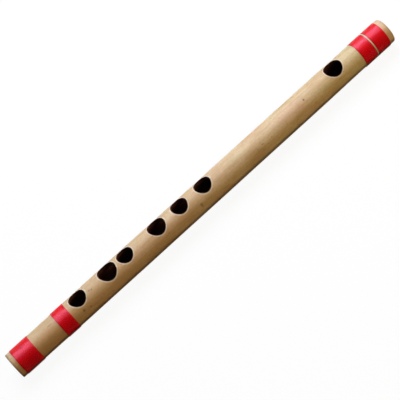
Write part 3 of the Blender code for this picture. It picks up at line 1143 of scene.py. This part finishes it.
bmesh.ops.translate(cork_shape, vec=(cork_middle, 0, AXIS_HEIGHT), verts=cork_shape.verts)
for vertex in cork_shape.verts:
    lump = noise.noise(vertex.co / LUMP_SIZE)
    inwards = 1 if vertex.co.x < cork_middle else -1
    if min(vertex.co.x - cork_low.x, cork_high.x - vertex.co.x) < NEAR:
        vertex.co.x += inwards * CORK_ROUGH * abs(lump)
cork = new_piece("cork", cork_shape, cork_material, "stopper")
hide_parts("cork_stopper")
print(f"cork: {len(cork.data.polygons)} faces")

# %% [markdown]
# The flute lies on a plain floor, which is also most of the background. The camera and
# reflections see it white. To the light that bounces off it the floor is grey, so that the flute's
# underside stays dark. The Light Path node tells these rays apart, and a helper gives the answer
# as one number, because the world beyond the floor's edge uses it too.
#
# For the camera most of the white is a glow that no shadow reaches, and the rest keeps a trace of
# the flute's shadow. The floor lies a hair's width below the flute, so that no two faces share one
# place.

# %% Lay the floor
FLOOR_SIZE = 6.0
FLOOR_GAP = 0.02 * MM
FLOOR_GREY = (0.14, 0.13, 0.12, 1)
FLOOR_WHITE = (0.95, 0.95, 0.95, 1)
GLOW = 0.93


def shows_background(tree):
    """1 for the camera and for what it sees in reflections and through glass, 0 for light."""
    rays = add_node(tree, "ShaderNodeLightPath").outputs
    mirrored = maths(tree, "MAXIMUM", rays["Is Glossy Ray"], rays["Is Transmission Ray"])
    return maths(tree, "MAXIMUM", rays["Is Camera Ray"], mirrored)


floor_material, tree, floor_shader = new_material("floor")
floor_colour = mix_colour(tree, shows_background(tree), FLOOR_GREY, FLOOR_WHITE)
feed(tree, floor_shader, {"Base Color": floor_colour, "Roughness": 1.0, "IOR": 1.0})
glow = add_node(tree, "ShaderNodeEmission", {"Color": WHITE, "Strength": 1.0}).outputs[0]
seen = add_node(tree, "ShaderNodeLightPath").outputs["Is Camera Ray"]
inputs = {0: maths(tree, "MULTIPLY", seen, GLOW), 1: floor_shader.outputs[0], 2: glow}
surface = add_node(tree, "ShaderNodeMixShader", inputs).outputs[0]
feed(tree, tree.nodes["Material Output"], {"Surface": surface})

floor_shape = bmesh.new()
bmesh.ops.create_grid(floor_shape, x_segments=1, y_segments=1, size=FLOOR_SIZE / 2)
bmesh.ops.translate(floor_shape, vec=(0, 0, -FLOOR_GAP), verts=floor_shape.verts)
floor = new_object("floor", floor_shape, floor_material)
print(f"The floor is {FLOOR_SIZE:.0f} m wide")

# %% [markdown]
# Three soft lamps light the flute. The key stands behind it and above, so the far side of the tube
# is bright, and its shade begins near the side that faces the camera. A weaker, warmer fill comes
# from over the camera, and leaves no highlight of its own. A sheen lamp over the flute does the
# opposite: it only adds the broad soft highlight along the far side. All stand nearer the head, so
# the foot is a little darker.
#
# A lamp of P watts, d metres away, gives a white surface that faces it the brightness
# P / (pi d)^2, so its power can be worked out from the brightness that it should give.

# %% Set up the lamps
KEY_COLOUR = (0.94, 1.0, 1.14)
FILL_COLOUR = (1.0, 0.70, 0.26)

Lamp = namedtuple("Lamp", "name from_top distance towards_head size level colour turned_off")
LAMPS = (
    Lamp(
        name="key", from_top=34, distance=1.2, towards_head=0.38,
        size=(1.2, 0.8), level=1.41, colour=KEY_COLOUR, turned_off=None,
    ),
    Lamp(
        name="sheen", from_top=21, distance=1.2, towards_head=0.38,
        size=(1.2, 1.0), level=10.0, colour=KEY_COLOUR, turned_off="visible_diffuse",
    ),
    Lamp(
        name="fill", from_top=-47, distance=1.1, towards_head=1.0,
        size=(0.8, 0.4), level=0.92, colour=FILL_COLOUR, turned_off="visible_glossy",
    ),
)


def add_lamp(lamp):
    """A soft rectangular lamp, so many degrees off the top and away from the player."""
    data = bpy.data.lights.new(lamp.name, "AREA")
    data.shape = "RECTANGLE"
    data.size, data.size_y = lamp.size
    data.energy = lamp.level * (math.pi * lamp.distance) ** 2
    data.color = lamp.colour
    from_top = math.radians(lamp.from_top)
    across, up = lamp.distance * math.sin(from_top), lamp.distance * math.cos(from_top)
    made = bpy.data.objects.new(lamp.name, data)
    made.location = (lamp.towards_head, across, up)
    made.rotation_euler = (-from_top, 0, 0)
    if lamp.turned_off:
        setattr(made, lamp.turned_off, False)
    bpy.context.scene.collection.objects.link(made)


for lamp in LAMPS:
    add_lamp(lamp)
print("Lamps:", ", ".join(lamp.name for lamp in LAMPS))

# %% [markdown]
# Beyond the floor is the world. Like the floor it is white to the camera and to reflections, and
# as a light it is dim, so that the three lamps alone shape the flute. The Standard view shows each
# colour as it was mixed.

# %% Set up the world
WORLD_LEVEL = 0.03

world = bpy.data.worlds.new("studio")
bpy.context.scene.world = world
world.use_nodes = True
tree = world.node_tree
strength = remap(tree, shows_background(tree), 0, 1, WORLD_LEVEL, 1)
feed(tree, tree.nodes["Background"], {"Color": WHITE, "Strength": strength})
bpy.context.scene.view_settings.view_transform = "Standard"
print(f"The world shines at {WORLD_LEVEL} and shows white")
